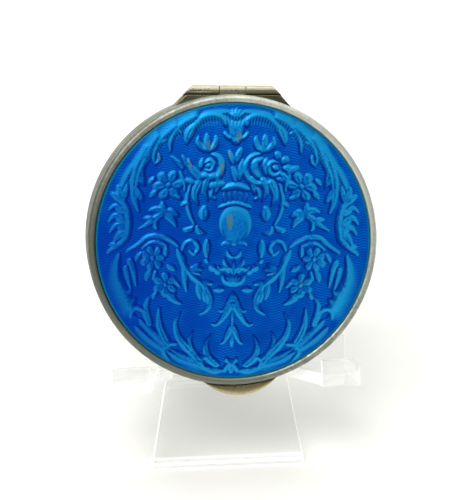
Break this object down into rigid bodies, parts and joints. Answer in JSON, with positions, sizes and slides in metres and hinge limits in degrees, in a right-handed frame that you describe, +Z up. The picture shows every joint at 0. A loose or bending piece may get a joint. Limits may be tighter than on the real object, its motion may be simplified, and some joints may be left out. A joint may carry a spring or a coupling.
{
  "type": "enamel pill box on easel",
  "caption": "Round silver box with a hinged lid, a domed blue enamel panel over struck relief ornament, standing upright in a clear acrylic easel.",
  "frame": {"origin": "on the table, under the middle of the whole object", "axes": "+Z up, -Y toward the viewer of the lid, +X to the viewer's right; the lid leans back 18 degrees"},
  "size_m": [0.05, 0.0478, 0.0672],
  "materials": {
    "silver": "worn satin silver",
    "enamel": "glossy translucent enamel over struck relief",
    "gilt": "dull, darkened",
    "acrylic": "clear, polished"
  },
  "bodies": {
    "base": {"base_pan": "silver", "hinge_pin": "gilt", "display_easel": "acrylic"},
    "lid": {"lid_frame": "silver", "enamel_panel": "enamel", "thumb_piece": "gilt"}
  },
  "joints": [
    {"name": "lid_hinge", "type": "hinge", "parent": "base", "child": "lid", "pos_m": [0.00078, 0.00005, 0.06619], "axis": [-0.9995, 0.0097, 0.0299], "range_deg": [0, 110]}
  ]
}
